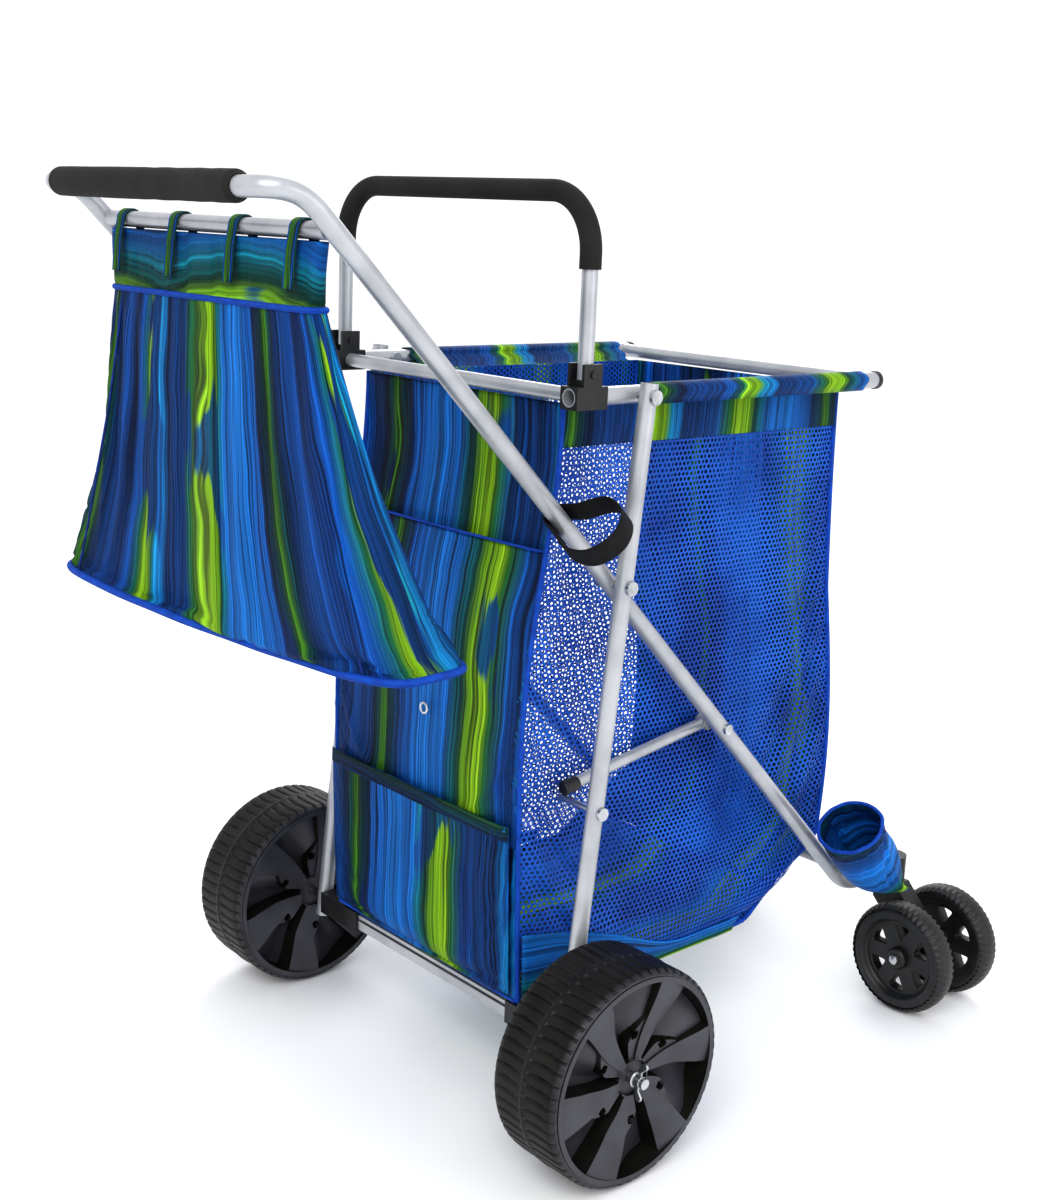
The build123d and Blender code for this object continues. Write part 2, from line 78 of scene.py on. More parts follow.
def link(name, data):
    """A new object in the scene."""
    obj = bpy.data.objects.new(name, data)
    bpy.context.scene.collection.objects.link(obj)
    return obj


def make_camera():
    """The camera stands behind the cart's right side, a little above the handle."""
    data = bpy.data.cameras.new("camera")
    camera = link("camera", data)
    forward = Vector((0.64562, 0.72761, -0.23185))
    up = Vector((0.12339, 0.20023, 0.97195))
    right = forward.cross(up).normalized()
    up = right.cross(forward).normalized()
    turn = Matrix((right, up, -forward)).transposed().to_4x4()
    camera.matrix_world = Matrix.Translation((-1.32064, -1.45378, 1.03818)) @ turn
    data.sensor_width = 36.0
    data.lens = 48.75
    data.clip_end = 60.0
    bpy.context.scene.camera = camera


def area_light(name, place, target, size, power):
    """A soft square lamp that points at a target."""
    data = bpy.data.lights.new(name, "AREA")
    data.shape = "SQUARE"
    data.size = size
    data.energy = power
    lamp = link(name, data)
    lamp.location = place
    direction = Vector(target) - Vector(place)
    lamp.rotation_mode = "QUATERNION"
    lamp.rotation_quaternion = direction.to_track_quat("-Z", "Y")


def make_stage():
    """A wide pale floor and soft studio light."""
    reach = 40.0
    mesh = bpy.data.meshes.new("floor")
    corners = [(-reach, -reach, 0), (reach, -reach, 0), (reach, reach, 0), (-reach, reach, 0)]
    mesh.from_pydata(corners, [], [(0, 1, 2, 3)])
    floor = link("floor", mesh)
    material = bpy.data.materials.new("floor")
    material.use_nodes = True
    shader = material.node_tree.nodes["Principled BSDF"]
    shader.inputs["Base Color"].default_value = (0.97, 0.97, 0.97, 1)
    shader.inputs["Roughness"].default_value = 0.75
    mesh.materials.append(material)
    area_light("key", (-2.6, -2.2, 3.2), (0, 0, 0.5), 2.2, 75)
    area_light("fill", (0.8, -3.4, 1.4), (0, 0, 0.4), 2.0, 15)
    area_light("back", (2.8, 2.6, 3.0), (0, 0, 0.6), 2.2, 50)
    world = bpy.data.worlds.new("studio")
    world.use_nodes = True
    world.node_tree.nodes["Background"].inputs["Color"].default_value = (0.96, 0.97, 1.0, 1)
    world.node_tree.nodes["Background"].inputs["Strength"].default_value = 0.95
    bpy.context.scene.world = world
    bpy.context.scene.view_settings.view_transform = "Standard"
    bpy.context.scene.view_settings.look = "Medium High Contrast"


# --- Materials ---

def linear(colour):
    """A six-digit colour as linear red, green, blue and alpha."""
    parts = [int(colour[i:i + 2], 16) / 255 for i in (0, 2, 4)]
    return tuple(((c + 0.055) / 1.055) ** 2.4 if c > 0.04045 else c / 12.92 for c in parts) + (1.0,)


class Nodes:
    """A short way to write a material's node tree."""

    def __init__(self, name):
        self.material = bpy.data.materials.new(name)
        self.material.use_nodes = True
        self.tree = self.material.node_tree
        self.shader = self.tree.nodes["Principled BSDF"]

    def add(self, kind, inputs=(), **settings):
        """A node with its settings and its inputs, which are values or sockets."""
        node = self.tree.nodes.new(kind)
        for key, value in settings.items():
            setattr(node, key, value)
        for key, value in dict(inputs).items():
            self.set(node.inputs[key], value)
        return node

    def set(self, socket, value):
        if isinstance(value, bpy.types.NodeSocket):
            self.tree.links.new(value, socket)
        else:
            socket.default_value = value

    def give(self, name, value):
        """Sets one of the shader's own inputs."""
        self.set(self.shader.inputs[name], value)

    def math(self, operation, *values):
        node = self.add("ShaderNodeMath", operation=operation)
        for socket, value in zip(node.inputs, values):
            self.set(socket, value)
        return node.outputs[0]

    def times(self, first, second):
        return self.math("MULTIPLY", first, second)

    def plus(self, first, second):
        return self.math("ADD", first, second)

    def over(self, first, second):
        return self.math("DIVIDE", first, second)

    def from_middle(self, value):
        return self.math("SUBTRACT", value, 0.5)

    def mix(self, factor, first, second, blend="MIX"):
        node = self.add("ShaderNodeMix", data_type="RGBA", blend_type=blend)
        self.set(node.inputs[0], factor)
        self.set(node.inputs[6], first)
        self.set(node.inputs[7], second)
        return node.outputs[2]

    def ramp(self, factor, stops):
        """A colour ramp; stops are (place, colour) pairs."""
        node = self.add("ShaderNodeValToRGB", {"Fac": factor})
        elements = node.color_ramp.elements
        while len(elements) < len(stops):
            elements.new(1.0)
        for element, (place, colour) in zip(elements, stops):
            element.position = place
            element.color = colour
        return node.outputs[0]

    def cloth_place(self):
        """Across and along places on the cloth, in metres."""
        uv = self.add("ShaderNodeUVMap", uv_map="UVMap")
        parts = self.add("ShaderNodeSeparateXYZ", {0: uv.outputs[0]})
        return parts.outputs[0], parts.outputs[1]

    def point(self, x, y, z):
        return self.add("ShaderNodeCombineXYZ", {0: x, 1: y, 2: z}).outputs[0]

    def noise(self, place, scale, detail=2.0, rough=0.5):
        inputs = {"Vector": place, "Scale": scale, "Detail": detail, "Roughness": rough}
        return self.add("ShaderNodeTexNoise", inputs).outputs[0]

    def streaks(self, across, scale_across, along, scale_along, seed, *detail):
        """Noise on the cloth with its own scale each way."""
        place = self.point(self.times(across, scale_across), self.times(along, scale_along), seed)
        return self.noise(place, 1.0, *detail)

    def tones(self, factor, low, high, margin=0.35):
        """Between two colours, given as six digits each."""
        return self.ramp(factor, [(margin, linear(low)), (1 - margin, linear(high))])

    def bump(self, height, distance, strength=1.0, normal=None):
        inputs = {"Height": height, "Distance": distance, "Strength": strength}
        if normal is not None:
            inputs["Normal"] = normal
        return self.add("ShaderNodeBump", inputs).outputs[0]


def grey(value):
    return (value, value, value, 1.0)


# Colours across one repeat of the print, as shares of its width. The second list has no green streaks.
STREAKS = [
    (0.00, "082c62"), (0.05, "083a3c"), (0.07, "4c8a1c"), (0.09, "0b4038"), (0.12, "07264e"),
    (0.20, "0e4488"), (0.25, "14356c"), (0.30, "0f4e9c"), (0.345, "1a6438"), (0.36, "84b41c"),
    (0.40, "74a41a"), (0.415, "0e7474"), (0.43, "1c8ecc"), (0.455, "106aa8"), (0.475, "082f62"),
    (0.60, "0d4688"), (0.655, "276c26"), (0.675, "8ab81e"), (0.73, "6c9e1a"), (0.75, "0a4636"),
    (0.78, "0c6678"), (0.81, "1560ac"), (0.90, "1d78cc"), (0.96, "1358a4"),
]
QUIET = [
    (0.00, "082c62"), (0.08, "07244c"), (0.20, "0e4484"), (0.30, "0e4e98"), (0.38, "093468"),
    (0.46, "0f5a9c"), (0.52, "082450"), (0.62, "0c428a"), (0.70, "0c5872"), (0.76, "083464"),
    (0.84, "1562b0"), (0.92, "1d78cc"), (0.97, "1358a4"),
]
REPEAT = 0.47
THREADS = 7000


def palette(stops):
    return [(place, linear(colour)) for place, colour in stops]


def printed_cloth():
    """Polyester with long dry-brush streaks of navy, blue, teal and lime."""
    n = Nodes("printed_cloth")
    across, along = n.cloth_place()
    sway = n.streaks(across, 3.5, along, 5, 0.0)
    bristle = n.streaks(across, 230, along, 5, 5.0, 3.0, 0.6)
    loose = n.from_middle(bristle)
    u = n.plus(across, n.times(sway, 0.045))
    place = n.math("FRACT", n.over(n.plus(u, n.times(loose, 0.007)), REPEAT))
    ends = n.streaks(u, 13, along, 3.4, 7.0)
    ends = n.plus(ends, n.times(loose, 0.10))
    shown = n.ramp(ends, [(0.385, grey(0)), (0.405, grey(1))])
    colour = n.mix(shown, n.ramp(place, palette(QUIET)), n.ramp(place, palette(STREAKS)))
    dots = n.streaks(across, 150, along, 150, 4.0, 1.0)
    region = n.streaks(across, 8, along, 5, 9.0)
    speckle = n.plus(dots, n.times(region, 0.9))
    colour = n.mix(n.ramp(speckle, [(1.12, grey(0)), (1.132, grey(0.7))]), colour, linear("2f8c2c"))
    lines = n.streaks(u, 330, along, 2.2, 1.0, 2.0)
    stroke = n.ramp(lines, [(0.36, grey(0.22)), (0.45, grey(0.80)), (0.56, grey(1.0)), (0.68, grey(1.9))])
    colour = n.mix(1.0, colour, stroke, "MULTIPLY")
    deep = n.streaks(u, 75, along, 1.2, 8.0, 2.0)
    shade = n.ramp(deep, [(0.38, grey(0.50)), (0.54, grey(1.0)), (0.70, grey(1.25))])
    colour = n.mix(1.0, colour, shade, "MULTIPLY")
    n.give("Base Color", colour)
    weave = n.plus(n.math("SINE", n.times(across, THREADS)), n.math("SINE", n.times(along, THREADS)))
    normal = n.bump(lines, 0.0004, 0.5)
    normal = n.bump(weave, 0.00015, 0.5, normal)
    n.give("Normal", normal)
    n.give("Roughness", n.plus(0.42, n.times(lines, 0.22)))
    n.give("Specular IOR Level", 0.12)
    return n.material


def mesh_cloth():
    """Royal blue netting with rows of small six-sided holes."""
    n = Nodes("mesh_cloth")
    across, along = n.cloth_place()
    pitch = 0.0068
    rows = pitch * math.sqrt(3)

    def hole(shift):
        """Distance from the nearest hole of one of the two sets of rows."""
        x = n.plus(n.over(across, pitch), shift)
        y = n.plus(n.over(along, rows), shift)
        dx = n.from_middle(n.math("FRACT", x))
        dy = n.times(n.from_middle(n.math("FRACT", y)), math.sqrt(3))
        return n.math("SQRT", n.plus(n.times(dx, dx), n.times(dy, dy)))

    gap = n.math("MINIMUM", hole(0.0), hole(0.5))
    thread = n.ramp(gap, [(0.30, grey(0.0)), (0.345, grey(1.0))])
    tone = n.streaks(across, 9, along, 9, 0.0)
    colour = n.tones(tone, "0e3b90", "1f5cbe")
    n.give("Base Color", colour)
    n.give("Alpha", thread)
    n.give("Normal", n.bump(gap, 0.0006, 0.8))
    n.give("Roughness", n.plus(0.45, n.times(tone, 0.15)))
    n.give("Specular IOR Level", 0.2)
    return n.material


def object_place(n):
    return n.add("ShaderNodeTexCoord").outputs["Object"]


def grained(name, low, high, scale, depth, rough_low, rough_high, metallic=0.0, coat=0.0):
    """A solid material with a fine grain and an uneven gloss."""
    n = Nodes(name)
    place = object_place(n)
    fine = n.noise(place, scale, 4.0, 0.6)
    broad = n.noise(place, scale / 40, 3.0)
    n.give("Base Color", n.tones(broad, low, high))
    span = rough_high - rough_low
    rough = n.plus(rough_low, n.times(n.plus(fine, broad), span / 2))
    n.give("Roughness", rough)
    n.give("Normal", n.bump(fine, depth, 0.6))
    n.give("Metallic", metallic)
    n.give("Coat Weight", coat)
    return n.material


def ribbed_cloth(name, low, high, pitch, depth):
    """Narrow woven trim, such as webbing or piping, with ribs across it."""
    n = Nodes(name)
    across, along = n.cloth_place()
    rib = n.math("SINE", n.times(along, 2 * math.pi / pitch))
    cord = n.math("SINE", n.times(across, 2 * math.pi / pitch))
    height = n.plus(rib, n.times(cord, 0.6))
    tone = n.streaks(across, 60, along, 60, 0.0, 3.0)
    n.give("Base Color", n.tones(tone, low, high, 0.3))
    n.give("Normal", n.bump(height, depth, 0.7))
    n.give("Roughness", n.plus(0.55, n.times(tone, 0.25)))
    n.give("Specular IOR Level", 0.2)
    return n.material


def wheel_plastic():
    """Moulded black plastic. The side faces are painted lighter than the tread as painted light from the sky; the
    tread keeps the plastic's dark colour.
    """
    n = Nodes("wheel_plastic")
    place = n.add("ShaderNodeTexCoord")
    parts = n.add("ShaderNodeSeparateXYZ", {0: place.outputs["Normal"]})
    # face is 1 on the wheel's side faces, found by their normal: the mask of the painted light.
    face = n.ramp(n.math("ABSOLUTE", parts.outputs[2]), [(0.25, grey(0)), (0.75, grey(1))])
    fine = n.noise(place.outputs["Object"], 700, 4.0, 0.6)
    broad = n.noise(place.outputs["Object"], 22, 3.0)
    tread = n.tones(broad, "131210", "1f1e1b")
    # Painted light: a lighter copy of the black plastic for the side faces, which the sky lights.
    lit_face_tones = n.tones(broad, "303035", "3c3c43")
    n.give("Base Color", n.mix(face, tread, lit_face_tones))
    n.give("Roughness", n.plus(0.34, n.times(n.plus(fine, broad), 0.11)))
    n.give("Normal", n.bump(fine, 0.00014, 0.6))
    n.give("Specular IOR Level", n.plus(0.18, n.times(face, 0.32)))
    return n.material


PRINT = printed_cloth()
MESH = mesh_cloth()
SILVER = grained("silver_paint", "a2a4a8", "b4b6b9", 900, 0.00006, 0.28, 0.44, 0.55, 0.3)
PLASTIC = grained("black_plastic", "0d0d0e", "1b1b1c", 1300, 0.00010, 0.34, 0.56)
TYRE = wheel_plastic()
FOAM = grained("foam", "100e0d", "1f1c1a", 700, 0.00035, 0.80, 1.0)
ZINC = grained("zinc", "a9abad", "d2d4d6", 1500, 0.00005, 0.20, 0.45, 1.0)
PIPING = ribbed_cloth("piping", "0b3a94", "1450b4", 0.0016, 0.0002)
BASE_CLOTH = ribbed_cloth("base_cloth", "1b1d22", "2b2e34", 0.0012, 0.0002)
WEBBING = ribbed_cloth("webbing", "0b0b0c", "1c1c1e", 0.0018, 0.0003)
THREAD = ribbed_cloth("thread", "0c1f52", "18388a", 0.0012, 0.0001)


# --- Mesh helpers ---

def make_object(name, points, faces, material, places=None):
    """A mesh object; places are each point's across and along distances in metres."""
    mesh = bpy.data.meshes.new(name)
    mesh.from_pydata([tuple(p) for p in points], [], faces)
    mesh.materials.append(material)
    if places is not None:
        layer = mesh.uv_layers.new(name="UVMap")
        for loop in mesh.loops:
            layer.data[loop.index].uv = places[loop.vertex_index]
    mesh.shade_smooth()
    return link(name, mesh)


def dress(obj, slot, body, *nodes):
    """Attaches a piece to what it rides on and hides the CAD nodes it stands for; slot is not used."""
    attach(obj, body)
    if nodes:
        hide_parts(*nodes)


def make_grid(name, count_s, count_t, shape, cloth, material):
    """A sheet over s and t from 0 to 1. shape gives a point, and cloth its places on the cloth."""
    spots = [(i / count_s, j / count_t) for j in range(count_t + 1) for i in range(count_s + 1)]
    points = [shape(s, t) for s, t in spots]
    places = [cloth(s, t) for s, t in spots]
    faces = []
    width = count_s + 1
    for j in range(count_t):
        for i in range(count_s):
            a = j * width + i
            faces.append((a, a + 1, a + width + 1, a + width))
    return make_object(name, points, faces, material, places)


def thicken(obj, thickness):
    """Gives a sheet its thickness, half on each side."""
    solid = obj.modifiers.new("thickness", "SOLIDIFY")
    solid.thickness = thickness
    solid.offset = 0.0


def as_shown(obj):
    """A mesh of an object with its modifiers worked out."""
    return bpy.data.meshes.new_from_object(obj.evaluated_get(bpy.context.evaluated_depsgraph_get()))


SHEET = dict(vertex_group_mass="pinned", quality=6, mass=0.15, tension_stiffness=25,
             compression_stiffness=25, shear_stiffness=12, bending_stiffness=0.6, air_damping=3)


def settle(obj, pinned, grow, press, cap, frames=22):
    """Lets a sheet buckle as cloth cut a little too large; pinned tells which points stay where they are."""
    mesh = obj.data
    before = [vertex.co.copy() for vertex in mesh.vertices]
    group = obj.vertex_groups.new(name="pinned")
    group.add([i for i, point in enumerate(before) if pinned(point, i)], 1.0, "REPLACE")
    cloth = obj.modifiers.new("cloth", "CLOTH")
    settings = dict(SHEET, shrink_min=-grow, use_pressure=press != 0, uniform_pressure_force=press)
    for key, value in settings.items():
        setattr(cloth.settings, key, value)
    cloth.collision_settings.use_collision = False
    scene = bpy.context.scene
    for step in range(1, frames + 1):
        scene.frame_set(step)
    settled = as_shown(obj)
    for i, vertex in enumerate(mesh.vertices):
        move = settled.vertices[i].co - before[i]
        vertex.co = before[i] + move * min(1.0, cap / max(move.length, 1e-9))
    obj.modifiers.remove(cloth)
    obj.vertex_groups.clear()
    bpy.data.meshes.remove(settled)
    scene.frame_set(1)


def rim_of(width, height, sides="lrbt"):
    """Tells which points of a grid lie on the named borders: left, right, bottom, top."""
    def test(point, index):
        row, column = divmod(index, width + 1)
        return (("l" in sides and column == 0) or ("r" in sides and column == width)
                or ("b" in sides and row == 0) or ("t" in sides and row == height))
    return test


def plate(name, outlines, thickness, bevel, material):
    """A flat plate in x and y with holes, from closed outlines; the first one is its edge."""
    data = bpy.data.curves.new(name, "CURVE")
    data.dimensions = "2D"
    data.fill_mode = "BOTH"
    data.extrude = thickness / 2 - bevel
    data.bevel_depth = bevel
    data.bevel_resolution = 2
    data.offset = -bevel
    for outline in outlines:
        spline = data.splines.new("POLY")
        spline.points.add(len(outline) - 1)
        for point, (x, y) in zip(spline.points, outline):
            point.co = (x, y, 0, 1)
        spline.use_cyclic_u = True
    carrier = link(name + "_outline", data)
    mesh = as_shown(carrier)
    bpy.data.objects.remove(carrier)
    bpy.data.curves.remove(data)
    mesh.name = name
    mesh.materials.clear()
    mesh.materials.append(material)
    mesh.shade_smooth()
    mesh.set_sharp_from_angle(angle=math.radians(40))
    return link(name, mesh)


def rounded(corners, radius, steps=5):
    """A closed outline with its corners rounded."""
    out = []
    count = len(corners)
    for i in range(count):
        corner = Vector(corners[i])
        start = corner + (Vector(corners[i - 1]) - corner).normalized() * radius
        end = corner + (Vector(corners[(i + 1) % count]) - corner).normalized() * radius
        for k in range(steps + 1):
            t = k / steps
            out.append(tuple(start * (1 - t) ** 2 + corner * (2 * t * (1 - t)) + end * t * t))
    return out


def ring_faces(count, size, closed=False):
    """The faces between rings of points, one ring after another."""
    faces = []
    for i in range(count if closed else count - 1):
        for k in range(size):
            a, b = i * size + k, i * size + (k + 1) % size
            c, d = ((i + 1) % count) * size + (k + 1) % size, ((i + 1) % count) * size + k
            faces.append((a, b, c, d))
    return faces


def turned(name, profile, material, count=32):
    """A round solid about z from (radius, z) pairs, with its sharp edges kept."""
    points = [(x, y, z) for r, z in profile for x, y in circle_section(r, count)]
    obj = make_object(name, points, ring_faces(len(profile), count), material)
    obj.data.set_sharp_from_angle(angle=math.radians(35))
    return obj


def point_along(obj, place, axis):
    """Puts an object made about z at a place, turned to an axis."""
    turn = Vector((0, 0, 1)).rotation_difference(Vector(axis)).to_matrix().to_4x4()
    obj.matrix_world = Matrix.Translation(place) @ turn


def smooth_ring(points, steps=8):
    """Points along a smooth closed curve through the given ones."""
    count = len(points)
    out = []
    for i in range(count):
        a, b, c, d = (points[(i + k) % count] for k in (-1, 0, 1, 2))
        for k in range(steps):
            t = k / steps
            out.append(0.5 * ((2 * b) + (c - a) * t + (2 * a - 5 * b + 4 * c - d) * t * t
                              + (3 * b - a - 3 * c + d) * t ** 3))
    return out


def path_frames(path, closed=False, side=None):
    """A place, the two directions across the path and the distance so far, for each point of a path."""
    count, travelled, previous = len(path), 0.0, None
    for i, place in enumerate(path):
        ahead = path[(i + 1) % count] if closed or i + 1 < count else place
        behind = path[i - 1] if closed or i > 0 else place
        direction = (ahead - behind).normalized()
        if side is not None:
            across = Vector(side)
        elif previous is None:
            across = direction.cross(Vector((0, 0, 1)) if abs(direction.z) < 0.9 else Vector((1, 0, 0)))
        else:
            across = previous
        across = (across - direction * across.dot(direction)).normalized()
        previous = across
        travelled += (place - path[i - 1]).length if i > 0 else 0.0
        yield place, across, across.cross(direction), travelled


def tube_faces(count, size, closed=False):
    """The faces of a tube of rings, with flat ends where it is open."""
    faces = ring_faces(count, size, closed)
    if not closed:
        faces += [tuple(range(size)), tuple((count - 1) * size + k for k in reversed(range(size)))]
    return faces


def sweep_section(name, path, section, material, closed=False, side=None):
    """Runs a closed section of (across, up) pairs along a path."""
    points, places = [], []
    for place, across, up, travelled in path_frames(path, closed, side):
        round_length = 0.0
        for k, (a, b) in enumerate(section):
            points.append(place + across * a + up * b)
            if k > 0:
                round_length += math.dist(section[k], section[k - 1])
            places.append((round_length, travelled))
    return make_object(name, points, tube_faces(len(path), len(section), closed), material, places)


def circle_section(radius, count=12):
    return [(radius * math.cos(2 * math.pi * k / count), radius * math.sin(2 * math.pi * k / count))
            for k in range(count)]


def strip_section(width, thickness):
    """A flat band with rounded edges."""
    w, h = width / 2, thickness / 2
    return [(-w, -h * 0.4), (-w + h, -h), (w - h, -h), (w, -h * 0.4),
            (w, h * 0.4), (w - h, h), (-w + h, h), (-w, h * 0.4)]


def ease(t):
    t = min(max(t, 0.0), 1.0)
    return t * t * (3 - 2 * t)


def hump(t):
    """Half a sine wave: 0 at 0 and 1, and 1 half way."""
    return math.sin(math.pi * t)


def ripple(x, y, z, scale, seed=0.0):
    """Smooth unevenness between -1 and 1."""
    return noise.noise(Vector((x * scale + seed, y * scale - seed, z * scale + 2 * seed)))


# --- Wheels: one mesh with a tread and two moulded faces ---

TREAD_SHARES = (0.97, 0.92, 0.86, 0.76, 0.66, 0.56, 0.53, 0.51,
                0.49, 0.47, 0.44, 0.34, 0.24, 0.14, 0.08, 0.03)


def wheel_mesh(name, radius, width, tread, face, steps, material, closed=False):
    """A wheel about local z, from 0 to width. tread gives the drop of the tread at an angle and a share of
    the width; face is the radii to sample, a face's height at a radius and an angle, and its twist."""
    rows = []
    face_radii, height, twist = face
    for r in face_radii:
        rows.append([(r, width - height(r, a, 1), a + twist(r)) for a in steps])
    for share in TREAD_SHARES:
        rows.append([(radius - tread(a, share), width * share, a) for a in steps])
    for r in reversed(face_radii):
        rows.append([(r, height(r, a, -1), a + twist(r)) for a in steps])
    points = [(r * math.cos(angle), r * math.sin(angle), z) for row in rows for r, z, angle in row]
    faces = [(a, d, c, b) for a, b, c, d in ring_faces(len(rows), len(steps), closed)]
    obj = make_object(name, points, faces, material)
    obj.data.set_sharp_from_angle(angle=math.radians(38))
    return obj


def pulse(x, half, soft):
    """1 where x is within half of 0, falling to 0 over soft."""
    return 1.0 - ease((abs(x) - half) / soft)


def wrap(a, period):
    """a brought to the range from -period/2 to period/2."""
    return (a + period / 2) % period - period / 2


REAR_RADIUS = 0.127
REAR_LUGS = 58
BLADES = 6
SECTOR = 2 * math.pi / BLADES
# Angles from the start of a blade to its end and to the end of the gusset beside it.
BLADE = math.radians(24)
GUSSET = math.radians(43)
# Half the angle over which a blade's edge drops.
EDGE_TURN = 0.0025


def rear_tread(angle, share):
    """Long shallow lugs on both halves, with a raised seam between them."""
    pitch = 2 * math.pi / REAR_LUGS
    half = 1 if share > 0.5 else -1
    across = abs(share - 0.5) * 2
    shift = pitch * 0.25 * half + 0.02 * math.sin(across * math.pi)
    groove = pulse(wrap(angle + shift, pitch), pitch * 0.05, pitch * 0.12)
    depth = 0.0022 * groove * ease((across - 0.05) / 0.06)
    shoulder = 0.0050 * ease((across - 0.80) / 0.20)
    seam = 0.0010 * (1 - ease((across - 0.015) / 0.04))
    return 0.0010 + depth + shoulder - seam


def rear_twist(radius):
    """How far the blades bend round from the hub to the rim."""
    return -0.13 * ease((radius - 0.025) / 0.09)


def rear_face(radius, angle, side):
    """Drop below the wheel's side: six flat blades, gussets beside them and deep pockets."""
    r = radius / REAR_RADIUS
    if r > 0.935:
        return 0.0030 + 0.0020 * ease((r - 0.935) / 0.03)
    local = (angle * side) % SECTOR
    dish = 0.0015 + 0.0100 * (1 - ease((r - 0.15) / 0.75))
    if r > 0.885:
        return 0.0012
    if radius < 0.0205:
        return 0.0155
    if radius < 0.0225 + 0.0016 * math.cos(6 * angle):
        return dish - 0.0010
    if local < BLADE:
        return dish + 0.0050 * (1 - local / BLADE) ** 2 * ease((r - 0.25) / 0.3)
    reach = 0.56 - 0.20 * (local - BLADE) / (GUSSET - BLADE)
    if local < GUSSET and r < reach:
        middle = BLADE + 0.45 * (GUSSET - BLADE)
        hole = math.hypot(radius - 0.0510, (local - middle) * radius) < 0.0046
        return dish + (0.0200 if hole else 0.0022)
    share = (local - BLADE) / (SECTOR - BLADE)
    return 0.0130 + 0.0200 * ease(share / 0.8)


def blade_steps(count):
    """Angles all round, with pairs close together at each edge of the blades and gussets."""
    edges = [SECTOR * k + place for k in range(BLADES) for place in (0.0, BLADE, GUSSET)]
    both = edges + [SECTOR * (k + 1) - place for k in range(BLADES) for place in (BLADE, GUSSET)]
    pairs = [edge + shift for edge in both for shift in (-EDGE_TURN, EDGE_TURN)]
    return sorted(set(angle_steps(count) + [angle % (2 * math.pi) for angle in pairs]))


def spread_radii(inner, outer, count):
    return [inner + (outer - inner) * k / count for k in range(count + 1)]


def place_wheel(obj, centre, axis, width, body, nodes):
    """Turns a wheel's local z to an outward axis and centres it."""
    point_along(obj, centre, axis)
    obj.matrix_world = obj.matrix_world @ Matrix.Translation((0, 0, -width / 2))
    dress(obj, "black_plastic", body, *nodes)


def angle_steps(count):
    return [2 * math.pi * k / count for k in range(count)]


def make_rear_wheels():
    for side, sign in SIDES:
        node = side + "_wheel"
        low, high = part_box(node)
        width = high.y - low.y
        radii = sorted(spread_radii(0.0064, 0.122, 58) + [0.0204, 0.0206, 0.1123, 0.1125, 0.1186, 0.1188])
        obj = wheel_mesh(side + "_beach_wheel", REAR_RADIUS, width, rear_tread,
                         (radii, rear_face, rear_twist), blade_steps(REAR_LUGS * 10), TYRE)
        place_wheel(obj, (low + high) / 2, (0, sign, 0), width, side + "_rear_wheel", [node])


def wing_outline():
    """A wing of the nut: it leaves the nut low and ends in a round ear."""
    ear = [(0.0175 + 0.0040 * math.cos(a), 0.0105 + 0.0045 * math.sin(a))
           for a in (math.radians(d) for d in range(-60, 150, 15))]
    return [(0.0030, 0.0008), (0.0090, 0.0012), (0.0150, 0.0045)] + ear + [(0.0100, 0.0085), (0.0030, 0.0088)]


def make_wing_nuts():
    for side, sign in SIDES:
        node = side + "_wing_nut"
        low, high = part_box(node)
        seat = Vector((AXLE.x, low.y if sign > 0 else high.y, AXLE.z))
        out = Vector((0, sign, 0))
        lean = Vector((0.22, 0, 1)).normalized()
        body = turned(node + "_body", [(0.0062, 0.0), (0.0092, 0.0), (0.0092, 0.0018), (0.0072, 0.0030),
                                       (0.0066, 0.0105), (0.0058, 0.0112)], ZINC)
        point_along(body, seat, out)
        dress(body, "zinc", "wheel_frame", node)
        for name, way in (("upper", lean), ("lower", -lean)):
            wing = plate(f"{node}_{name}", [wing_outline()], 0.0030, 0.0008, ZINC)
            turn = Matrix((way, out, way.cross(out))).transposed().to_4x4()
            wing.matrix_world = Matrix.Translation(seat) @ turn
            dress(wing, "zinc", "wheel_frame")


CASTER_RADIUS = 0.076
CASTER_LUGS = 52
TYRE_INNER = 0.0505
# (Radius, distance along the axle) pairs.
HUB_PROFILE = [(0.0052, -0.0178), (0.0130, -0.0178), (0.0150, -0.0150),
               (0.0150, 0.0150), (0.0130, 0.0178), (0.0052, 0.0178)]
BOLT_PROFILE = [(0.0, 0.0235), (0.0035, 0.0230), (0.0062, 0.0212), (0.0068, 0.0195), (0.0068, 0.0179)]


def caster_tread(angle, share):
    """A round tread with fine cross ribs on both shoulders."""
    pitch = 2 * math.pi / CASTER_LUGS
    across = abs(share - 0.5) * 2
    groove = pulse(wrap(angle, pitch), pitch * 0.16, pitch * 0.18)
    return 0.0014 * groove * ease((across - 0.25) / 0.2) + 0.0075 * across ** 3


def caster_side(radius, angle, side):
    """Drop of the tyre's rounded flank below the side; ribs run over its outer edge."""
    pitch = 2 * math.pi / CASTER_LUGS
    groove = pulse(wrap(angle, pitch), pitch * 0.16, pitch * 0.18)
    outer = ease((radius - 0.062) / 0.011)
    inner = 1 - ease((radius - TYRE_INNER) / 0.006)
    return 0.0010 + 0.0045 * outer ** 2 + 0.0012 * groove * outer + 0.0080 * inner


def window_outline(turn):
    """A rounded three-sided window in the caster's web, with its point toward the hub."""
    corners = [(0.0235, 0.0), (0.0440, -0.0125), (0.0465, 0.0), (0.0440, 0.0125)]
    c, s = math.cos(turn), math.sin(turn)
    return rounded([(x * c - y * s, x * s + y * c) for x, y in corners], 0.0045)


